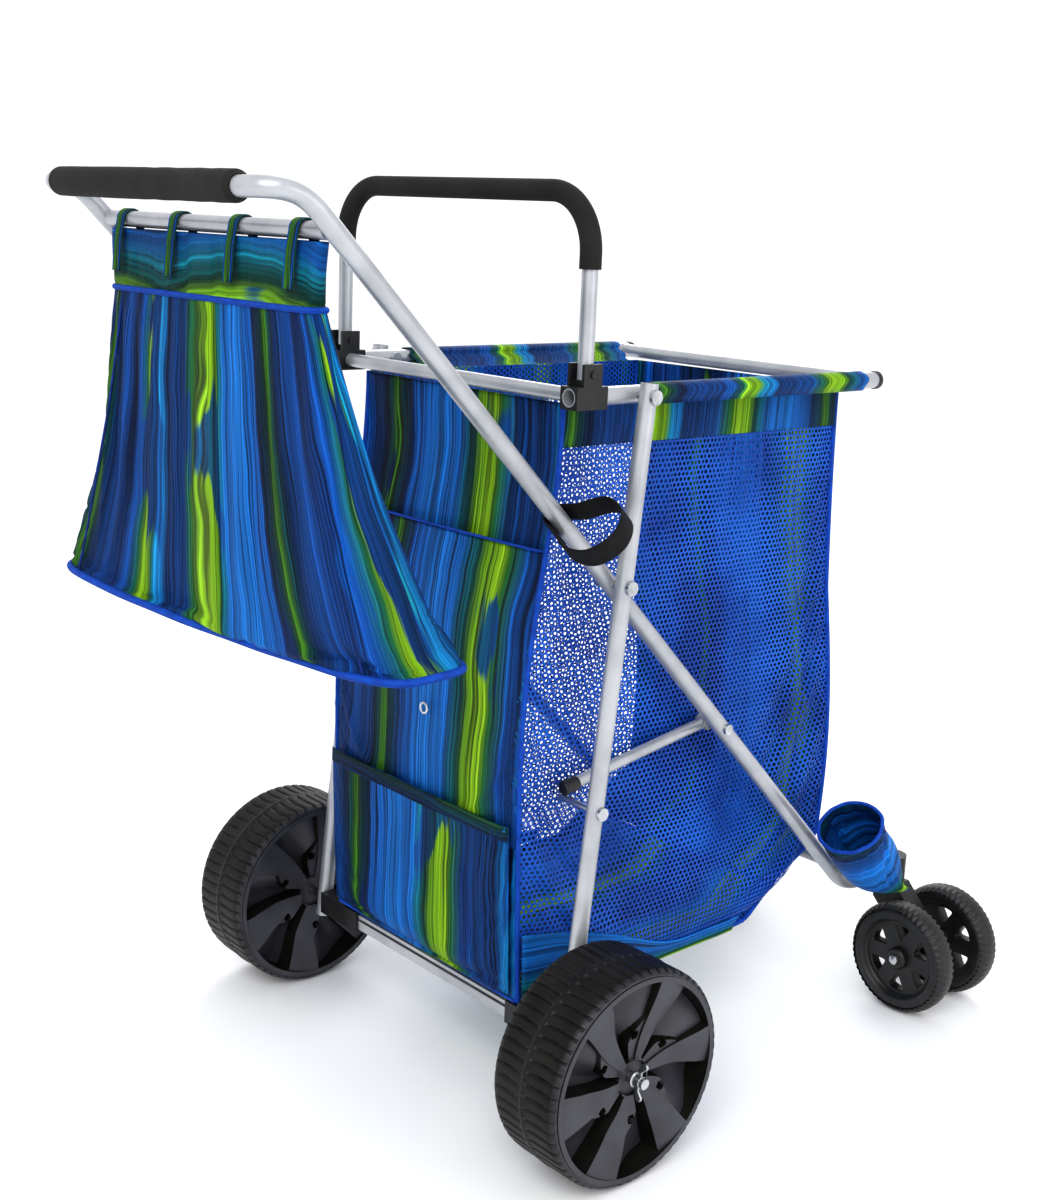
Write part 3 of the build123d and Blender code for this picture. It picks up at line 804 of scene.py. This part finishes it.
def make_caster_wheels():
    for side, _ in SIDES:
        for place, way in (("rear", -1), ("front", 1)):
            node = f"{side}_caster_{place}_wheel"
            body = f"{side}_caster_{place}"
            low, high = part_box(node)
            width, centre = high.x - low.x, (low + high) / 2
            radii = spread_radii(TYRE_INNER, 0.0735, 16)
            tyre = wheel_mesh(f"{side}_{place}_tyre", CASTER_RADIUS, width, caster_tread,
                              (radii, caster_side, lambda r: 0.0), angle_steps(CASTER_LUGS * 6),
                              PLASTIC, closed=True)
            place_wheel(tyre, centre, (way, 0, 0), width, body, [node])
            windows = [window_outline(SECTOR * k) for k in range(6)]
            web = plate(f"{side}_{place}_web", [circle_section(TYRE_INNER + 0.0015, 48)] + windows
                        + [circle_section(0.0052, 24)], 0.016, 0.0015, PLASTIC)
            hub = turned(f"{side}_{place}_hub", HUB_PROFILE, PLASTIC)
            bolt = turned(f"{side}_{place}_bolt", BOLT_PROFILE, ZINC)
            for piece, slot in ((web, "black_plastic"), (hub, "black_plastic"), (bolt, "zinc")):
                point_along(piece, centre, (way, 0, 0))
                dress(piece, slot, body)


# --- Main bag ---

FLOOR_Z = BAG_LOW.z
TOP_Z = BAG_HIGH.z
NEAR_X = PANEL_LOW.x
BAG_BODY = "handle_frame"


def rear_x(t):
    """Rear wall's place at a share of its height; it bellies rearward."""
    lean = 0.030 * ease((t - 0.45) / 0.55)
    return NEAR_X + lean - 0.010 * hump(min(t * 1.15, 1.0))


def front_x(t):
    """Front wall's place at a share of its height; it bulges low down."""
    base = AXLE.x - 0.005 + 0.430 + 0.078 * ease(t / 0.10) * (1 - 0.35 * ease((t - 0.2) / 0.8))
    return base + 0.014 * hump(min(t * 1.6, 1.0))


def height_at(t):
    return FLOOR_Z + (TOP_Z - FLOOR_Z) * t


def front_lift(s, t):
    """How far the bag's floor rises where it meets the front wall."""
    return 0.030 * ease((s - 0.86) / 0.14) * (1 - t) ** 4


def print_piece(obj, *nodes):
    """A printed or bound piece that rides on the handle frame."""
    dress(obj, "print_fabric", BAG_BODY, *nodes)


def bag_piece(obj, *nodes, slot="print_fabric"):
    """A piece of the main bag rides on the handle frame and gets a mesh of its own."""
    dress(obj, slot, BAG_BODY, *nodes)
    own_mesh(obj)


def rear_sheet(name, s_count, t_count, low_z, high_z, off, cloth_start, grow, cap):
    """A printed layer of the rear wall between two heights, off rearward from it."""
    def shape(s, t):
        y = (s - 0.5) * 2 * (BAG_HALF - off * 0.3)
        z = low_z + (high_z - low_z) * t
        edge = hump(s) ** 0.4 if 0 < s < 1 else 0.0
        return (rear_x((z - FLOOR_Z) / (TOP_Z - FLOOR_Z)) - (0.004 + off) * edge, y, z)

    obj = make_grid(name, s_count, t_count, shape,
                    lambda s, t: (cloth_start + s * 2 * BAG_HALF, t * (high_z - low_z)), PRINT)
    settle(obj, rim_of(s_count, t_count, "lrb" if off else "lrbt"), grow, 0.4, cap)
    thicken(obj, 0.0015)
    return obj, shape


UPPER_POCKET_LOW = 0.340
UPPER_POCKET_TOP = 0.682
LOW_POCKET_HEIGHT = 0.206
EYELET_Y, EYELET_Z, EYELET_RADIUS = -0.017, 0.469, 0.0062


def make_bag_rear():
    wall, _ = rear_sheet("bag_back_wall", 70, 130, FLOOR_Z, TOP_Z, 0.0, 0.19, 0.012, 0.005)
    bag_piece(wall, "bag_rear_panel")
    pocket, shape = rear_sheet("bag_upper_pocket", 70, 66, UPPER_POCKET_LOW, UPPER_POCKET_TOP, 0.004,
                               1.17, 0.010, 0.003)
    bag_piece(pocket)
    edge = [Vector(shape(k / 40, 1.0)) + Vector((-0.0012, 0, -0.001)) for k in range(41)]
    bag_piece(edge_trim("upper_pocket_edge", edge, 0.0016))
    x = shape(0.45, 0.38)[0] - 0.0045
    ring = [Vector((x, EYELET_Y + y, EYELET_Z + z)) for y, z in circle_section(EYELET_RADIUS, 28)]
    eyelet = sweep_section("pocket_eyelet", ring, circle_section(0.0016, 10), ZINC, closed=True)
    bag_piece(eyelet, slot="zinc")


def pocket_shape(s, t):
    """The low pocket swells a little off the rear wall."""
    y = (s - 0.5) * 2 * (BAG_HALF - 0.004)
    z = FLOOR_Z + 0.010 + LOW_POCKET_HEIGHT * t
    swell = (hump(s) ** 0.35 if 0 < s < 1 else 0.0) * ease(t / 0.12)
    wrinkle = 0.0020 * ripple(0, y, z, 12, 6.0)
    return (rear_x(t * 0.3) - 0.0100 - (0.0055 + wrinkle) * swell, y, z)


def make_bag_pocket():
    obj = make_grid("bag_back_pocket", 72, 44, pocket_shape,
                    lambda s, t: (0.655 + s * 2 * BAG_HALF, t * LOW_POCKET_HEIGHT), PRINT)
    settle(obj, rim_of(72, 44, "lrbt"), 0.012, 0.6, 0.004)
    thicken(obj, 0.0016)
    bag_piece(obj, "bag_rear_pocket")
    hem = [Vector(pocket_shape(k / 40, 1.0)) + Vector((-0.0006, 0, -0.009)) for k in range(41)]
    band = sweep_section("pocket_hem", hem, strip_section(0.018, 0.0018), PRINT, side=(0, 0, 1))
    bag_piece(band)


def side_swell(s, t):
    """How far the netting stands outward; it is full low down, where things lie in the bag."""
    belly = math.exp(-((t - 0.15) / 0.12) ** 2) * hump(min(max(s, 0.0), 1.0)) ** 0.6
    hollow = math.exp(-((t - 0.62) / 0.22) ** 2) * hump(min(max(s, 0.0), 1.0))
    return 0.022 * belly - 0.007 * hollow


def side_shape(sign):
    def shape(s, t):
        x = rear_x(t) + (front_x(t) - rear_x(t)) * s
        sag = 0.006 * hump(s)
        z = height_at(t) - sag * (1 - t) + front_lift(s, t)
        uneven = 0.0035 * ripple(x, 0, z, 8, 5.0 + sign) * hump(s) * (1 - t * 0.5)
        return (x, sign * (BAG_HALF + 0.001 + side_swell(s, t) + uneven), z)
    return shape


def make_bag_sides():
    for side, sign in SIDES:
        shape = side_shape(sign)

        def cloth(s, t):
            """The two nets' rows run across each other, so seen together they don't beat."""
            places = (s * 0.5, t * (TOP_Z - FLOOR_Z))
            return places if sign < 0 else places[::-1]

        obj = make_grid("bag_netting_" + side, 80, 110, shape, cloth, MESH)
        border = rim_of(80, 110)
        settle(obj, lambda point, i: border(point, i) or point.z > height_at(0.92), 0.020, 0.5 * -sign, 0.007)
        bag_piece(obj, "bag_" + side + "_side", slot="mesh_fabric")

        def band_shape(s, t):
            top = 0.125 * (1 - 0.80 * ease(s / 0.75))
            x, y, z = shape(s * 0.8, t * top)
            return (x, y + sign * 0.0085, z)

        def band_cloth(s, t):
            return (0.322 + t * 0.075, s * 0.36)

        band = make_grid("bag_low_band_" + side, 60, 14, band_shape, band_cloth, PRINT)
        thicken(band, 0.0012)
        bag_piece(band)

        def top_shape(s, t):
            x, y, z = shape(s, 0.93 + 0.07 * t)
            return (x, y + sign * 0.0018, z)

        top = make_grid("bag_top_band_" + side, 60, 8, top_shape, lambda s, t: (s * 0.5, t * 0.05), PRINT)
        thicken(top, 0.0014)
        bag_piece(top)


def make_bag_front():
    def shape(s, t):
        y = (s - 0.5) * 2 * BAG_HALF
        z = height_at(t) + front_lift(1.0, t)
        edge = hump(s) ** 0.5 if 0 < s < 1 else 0.0
        wrinkle = 0.004 * ripple(1, y, z, 9, 2.0)
        return (front_x(t) + (0.008 + wrinkle) * edge, y, z)

    obj = make_grid("bag_front_wall", 60, 110, shape, lambda s, t: (2.6 + s * 2 * BAG_HALF, t * 0.69), PRINT)
    thicken(obj, 0.0015)
    bag_piece(obj, "bag_front_panel")


def make_bag_bottom():
    start, end = rear_x(0), front_x(0)

    def shape(s, t):
        x = start + (end - start) * t
        y = (s - 0.5) * 2 * BAG_HALF
        return (x, y, FLOOR_Z - 0.006 * hump(t) + front_lift(t, 0.0))

    obj = make_grid("bag_floor", 40, 50, shape, lambda s, t: (3.4 + s * 0.35, t * 0.44), PRINT)
    thicken(obj, 0.003)
    bag_piece(obj, "bag_bottom")


def edge_trim(name, points, radius=0.0030):
    """Piping or a bound seam along an edge."""
    return sweep_section(name, points, circle_section(radius, 10), PIPING)


def make_bag_trim():
    for side, sign in SIDES:
        shape = side_shape(sign)
        edges = {
            "back": [shape(0.0, k / 60) for k in range(61)],
            "front": [shape(1.0, k / 60) for k in range(61)],
            "floor": [shape(k / 60, 0.0) for k in range(61)],
        }
        for place, points in edges.items():
            bag_piece(edge_trim(f"bag_piping_{place}_{side}", [Vector(p) for p in points]))
    y_steps = [BAG_HALF * (k / 20 - 1) for k in range(41)]
    bag_piece(edge_trim("bag_piping_back_floor", [Vector((rear_x(0) - 0.001, y, FLOOR_Z)) for y in y_steps]))
    front_z = FLOOR_Z + front_lift(1.0, 0.0)
    bag_piece(edge_trim("bag_piping_front_floor", [Vector((front_x(0), y, front_z)) for y in y_steps]))


def make_rail_sleeves():
    """Printed sleeves that carry the bag on its rails; the netting is sewn to them."""
    radius = 0.0115
    for side, sign in SIDES:
        centre_y = sign * abs(RAIL.y)

        def sleeve_shape(s, t):
            x = AXLE.x + 0.097 + 0.372 * s + 0.003 * math.sin(31 * t)
            if t < 0.4:
                share = t / 0.4
                y = (BAG_HALF + 0.002) + (abs(RAIL.y) - radius * 0.9 - BAG_HALF) * share
                z = TOP_Z - 0.004 + (RAIL.z - TOP_Z + 0.010) * share ** 1.5
                return (x, sign * y, z + 0.0015 * ripple(x, y, 0, 30, 2.0))
            angle = math.pi * 0.85 - (t - 0.4) / 0.6 * math.pi * 1.72
            return (x, centre_y + sign * radius * math.cos(angle), RAIL.z + radius * math.sin(angle))

        obj = make_grid("rail_sleeve_" + side, 70, 40, sleeve_shape,
                        lambda s, t: (s * 0.37, t * 0.09), PRINT)
        thicken(obj, 0.0012)
        dress(obj, "print_fabric", "bag_rails")


# --- Tote on the handle ---

TOTE_LOW, TOTE_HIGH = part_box("tote_bag")
TOTE_CENTRE_X = (TOTE_LOW.x + TOTE_HIGH.x) / 2
TOTE_TOP = CROSSBAR.z - 0.072
COLLAR_TOP = CROSSBAR.z - 0.010
TOTE_TURN = math.radians(6.5)


def tote_ring(angle, t):
    """A point on the tote's wall: angle goes round it, and t goes from its floor to its rim."""
    half_y = 0.284 - 0.094 * t - 0.006 * hump(t)
    half_x = 0.061 - 0.047 * t
    cx, cy = math.cos(angle), math.sin(angle)
    x = half_x * math.copysign(abs(cx) ** 0.42, cx)
    y = half_y * math.copysign(abs(cy) ** 0.30, cy)
    turn = TOTE_TURN * (1 - t)
    centre = TOTE_CENTRE_X + (CROSSBAR.x + 0.002 - TOTE_CENTRE_X) * t
    low = TOTE_LOW.z + 0.010 * y / half_y - 0.008 * math.cos(y / half_y * math.pi / 2)
    z = low + (TOTE_TOP - low) * t + 0.003 * ripple(0, y, 0, 11, 5.0) * (1 - t)
    fold = 0.0025 * ripple(0, y * 1.6, z * 0.6, 12, 4.0) * hump(t)
    return Vector((centre + x * math.cos(turn) - y * math.sin(turn) - fold,
                   x * math.sin(turn) + y * math.cos(turn), z))


def even_angles(count):
    """Angles that divide the tote's outline at mid height into equal lengths."""
    fine = [math.pi / 2 + 2 * math.pi * k / 2400 for k in range(2401)]
    points = [tote_ring(angle, 0.5) for angle in fine]
    lengths = [0.0]
    for a, b in zip(points, points[1:]):
        lengths.append(lengths[-1] + (b - a).length)
    angles, k = [], 0
    for step in range(count + 1):
        while k < 2399 and lengths[k + 1] < lengths[-1] * step / count:
            k += 1
        share = (lengths[-1] * step / count - lengths[k]) / (lengths[k + 1] - lengths[k])
        angles.append(fine[k] + (fine[k + 1] - fine[k]) * share)
    return angles


TOTE_STEPS = 220
TOTE_ANGLES = even_angles(TOTE_STEPS)


def tote_angle(s):
    return TOTE_ANGLES[round(s * TOTE_STEPS)]


def tote_cloth(s, t):
    """Cloth places: the streaks fan out with the tote's width."""
    return (0.422 + s * 1.36, t * 0.36)


def make_tote():
    around, up = TOTE_STEPS, 80

    def shape(s, t):
        return tote_ring(tote_angle(s), t)

    body = make_grid("tote_wall", around, up, shape, tote_cloth, PRINT)
    settle(body, rim_of(around, up), 0.016, 0.5, 0.010)
    thicken(body, 0.0016)
    print_piece(body, "tote_bag")

    def floor_shape(s, t):
        edge = tote_ring(tote_angle(s), 0.0)
        middle = Vector((TOTE_CENTRE_X - edge.y * math.sin(TOTE_TURN), edge.y * 0.92, edge.z - 0.006))
        return middle.lerp(edge, t)

    base = make_grid("tote_floor", around, 8, floor_shape, lambda s, t: (s * 1.2, t * 0.06), BASE_CLOTH)
    weld = base.modifiers.new("weld", "WELD")
    weld.merge_threshold = 0.00005
    thicken(base, 0.0016)
    print_piece(base)

    def collar_shape(s, t):
        rim = tote_ring(tote_angle(s), 1.0)
        z = TOTE_TOP + (COLLAR_TOP - TOTE_TOP) * t
        drop = 0.006 * hump(t) * ripple(0, rim.y, 0, 9, 2.0)
        narrow = 1 - 0.30 * t
        return Vector((CROSSBAR.x + (rim.x - CROSSBAR.x) * narrow + drop, rim.y * (1 + 0.045 * t), z))

    # Painted shade: the collar's cloth places fall on the dark green and teal part of the print, so the collar
    # looks darker, as in shade under the load.
    collar = make_grid("tote_collar", around, 24, collar_shape,
                       lambda s, t: (0.322 + t * 0.040, s * 0.9), PRINT)
    settle(collar, rim_of(around, 24), 0.012, 0.3, 0.004)
    thicken(collar, 0.0018)
    print_piece(collar)


def tote_line(t):
    """A closed line round the tote at a height."""
    points = []
    for angle in TOTE_ANGLES[:-1]:
        outward = Vector((math.cos(angle), math.sin(angle) * 0.3, 0)).normalized()
        points.append(tote_ring(angle, t) + outward * 0.0012)
    return points


def make_tote_trim():
    for name, t, radius in (("tote_piping_low", 0.0, 0.0042), ("tote_piping_top", 1.0, 0.0032)):
        obj = sweep_section(name, tote_line(t), circle_section(radius, 10), PIPING, closed=True)
        print_piece(obj)
    corners = (("back_left", 0.80), ("back_right", -0.80), ("front_left", 0.20), ("front_right", -0.20))
    for place, angle in corners:
        line = [tote_ring(angle * math.pi, k / 50) for k in range(51)]
        seam = sweep_section("tote_seam_" + place, line, circle_section(0.0014, 8), THREAD)
        print_piece(seam)


LOOP_RADIUS = 0.0102
LOOP_FOOT_Z = TOTE_TOP + 0.018
LOOP_BEND_Z = CROSSBAR.z - 0.020


def make_tote_loops():
    """Narrow printed loops that go over the crossbar and are sewn to the collar in two rows."""
    back, front = CROSSBAR.x - LOOP_RADIUS, CROSSBAR.x + LOOP_RADIUS
    for index, y in enumerate((0.166, 0.055, -0.060, -0.166)):
        name = f"tote_loop_{index + 1}"
        path = [Vector((back - 0.0065, y, LOOP_FOOT_Z)), Vector((back - 0.0040, y, LOOP_BEND_Z))]
        for k in range(13):
            angle = math.pi - math.pi * k / 12
            path.append(Vector((CROSSBAR.x + LOOP_RADIUS * math.cos(angle), y,
                                CROSSBAR.z + LOOP_RADIUS * math.sin(angle))))
        path += [Vector((front + 0.0040, y, LOOP_BEND_Z)), Vector((front + 0.0065, y, LOOP_FOOT_Z))]
        loop = sweep_section(name, path, strip_section(0.017, 0.0018), PRINT, side=(0, 1, 0))
        print_piece(loop, *(["tote_straps"] if index == 0 else []))
        for row_name, edge in (("_row_a", -0.0065), ("_row_b", 0.0065)):
            row = [point + Vector((-0.0011, edge, 0)) for point in path[:6]]
            seam = sweep_section(name + row_name, row, circle_section(0.0005, 6), PIPING)
            print_piece(seam)


# --- Umbrella pocket and strap ---

def make_umbrella_pocket():
    """A soft boot on the leg: round at its mouth and sewn flat across its foot."""
    mount = next(m for m in frame["record"]["mounts"] if m["name"] == "umbrella_socket")
    direction = Vector(mount["axis"]).normalized()
    bore_length = mount["dims"]["length_mm"] * MM
    length = bore_length + 0.022
    radius = mount["dims"]["r_mm"] * MM + 0.0015
    foot = Vector(mount["pos_m"]) - direction * (length - bore_length / 2)
    up = direction.cross(Vector((0, 1, 0))).normalized()
    across = up.cross(direction)

    def shape(s, t):
        angle = 2 * math.pi * s
        fill = ease(t / 0.55)
        wide = radius * (0.82 + 0.18 * fill) * (1 + 0.05 * ease((t - 0.8) / 0.2))
        deep = radius * (0.10 + 0.90 * math.sqrt(fill))
        pucker = 1 + 0.035 * ripple(math.cos(angle), math.sin(angle), t * 1.4, 2.4, 3.0) * fill
        droop = 0.007 * ease((t - 0.6) / 0.4) * math.sin(angle)
        corner = 0.010 * (1 - fill) * math.cos(angle) ** 2
        return (foot + direction * (length * t + corner + droop)
                + across * (wide * pucker * math.cos(angle)) + up * (deep * pucker * math.sin(angle)))

    boot = make_grid("umbrella_boot", 96, 60, shape, lambda s, t: (0.30 + t * 0.17, s * 0.26), PRINT)
    settle(boot, rim_of(96, 60), 0.020, 0.6, 0.005)
    thicken(boot, 0.0018)
    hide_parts("umbrella_pocket")
    ring = [shape(k / 64, 0.99) for k in range(64)]
    hem = sweep_section("umbrella_boot_hem", ring, circle_section(0.0024, 10), PIPING, closed=True)
    seam = sweep_section("umbrella_boot_seam", [shape(k / 60, 0.01) for k in range(31)],
                         circle_section(0.0022, 8), PIPING)
    for piece in (boot, hem, seam):
        print_piece(piece)
        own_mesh(piece)


def make_umbrella_strap():
    """A black web loop on the right diagonal leg that holds an umbrella's shaft."""
    direction = Vector((-1, 0, 1)).normalized()
    across = Vector((0, -1, 0))
    up = direction.cross(across)
    leg = Vector((PIVOT.x - 0.075, -abs(RAIL.y), PIVOT.z + 0.075))
    outline = [(-0.0125, 0.0), (-0.006, 0.0115), (0.018, 0.018), (0.050, 0.034), (0.082, 0.022),
               (0.092, -0.006), (0.074, -0.032), (0.040, -0.034), (0.012, -0.018), (-0.007, -0.0115)]
    path = smooth_ring([leg + across * a + up * b for a, b in outline])
    strap = sweep_section("umbrella_strap", path, strip_section(0.026, 0.0024), WEBBING, closed=True,
                          side=direction)
    dress(strap, "black_plastic", BAG_BODY)
    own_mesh(strap)


# --- Handle foam and small parts ---

GRIP_ROUNDING = 0.004
GRIP_END = 0.005
GRIP_STEP = 0.002


def make_handle_foam():
    """A foam sleeve with rounded ends along the handle's bar."""
    low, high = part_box("handle_grip")
    radius, reach = (high.z - low.z) / 2, high.y + 0.004
    start, end = Vector((GRIP.x, -reach, GRIP.z)), Vector((GRIP.x, reach, GRIP.z))
    count = int((end - start).length / GRIP_STEP)
    path = [start.lerp(end, k / count) for k in range(count + 1)]
    length = sum((b - a).length for a, b in zip(path, path[1:]))
    points = []
    for place, across, up, travelled in path_frames(path):
        near = min(travelled, length - travelled)
        r = radius - GRIP_ROUNDING * (1 - ease(near / GRIP_END)) + 0.0004 * ripple(*place, 60, 1.0)
        points += [place + across * a + up * b for a, b in circle_section(r, 28)]
    obj = make_object("handle_foam", points, tube_faces(len(path), 28), FOAM)
    dress(obj, "foam", "handle_frame", "handle_grip")


def make_beam_slot():
    """A black strip set in the axle beam's rear face, near its top."""
    low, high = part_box("axle_tube")
    path = [Vector((low.x - 0.0002, y, high.z - 0.0062)) for y in (low.y + 0.004, high.y - 0.004)]
    strip = sweep_section("beam_slot", path, strip_section(0.0034, 0.0012), PLASTIC, side=(0, 0, 1))
    dress(strip, "black_plastic", "wheel_frame")


def make_link_sleeves():
    """Black end sleeves over the rear ends of the side links."""
    for side, _ in SIDES:
        low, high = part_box(side + "_link_cap")
        tip = Vector((low.x + 0.003, (low.y + high.y) / 2, (low.z + high.z) / 2 - 0.001))
        link_low, link_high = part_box(side + "_side_link")
        direction = Vector((link_high.x - link_low.x, 0, (link_high.z - link_low.z) * 0.70)).normalized()
        profile = [(0.0, 0.0), (0.0070, 0.0), (0.0086, 0.0016), (0.0086, 0.0205), (0.0078, 0.0215),
                   (0.0071, 0.0215)]
        sleeve = turned(side + "_link_sleeve", profile, PLASTIC)
        point_along(sleeve, tip, direction)
        dress(sleeve, "black_plastic", side + "_link", side + "_link_cap")


def assign_materials():
    """The CAD nodes that stay get their finish."""
    finishes = {"silver_tube": SILVER, "black_plastic": PLASTIC, "foam": FOAM, "zinc": ZINC,
                "print_fabric": PRINT, "mesh_fabric": MESH}
    for part in frame["record"]["subparts"]:
        node = frame["nodes"][part["node"]]
        for place in node.material_slots:
            place.material = finishes[part["material_slot"]]


make_camera()
make_stage()
assign_materials()
make_rear_wheels()
make_wing_nuts()
make_caster_wheels()
make_bag_rear()
make_bag_pocket()
make_bag_sides()
make_bag_front()
make_bag_bottom()
make_bag_trim()
make_rail_sleeves()
make_tote()
make_tote_trim()
make_tote_loops()
make_umbrella_pocket()
make_umbrella_strap()
make_handle_foam()
make_beam_slot()
make_link_sleeves()
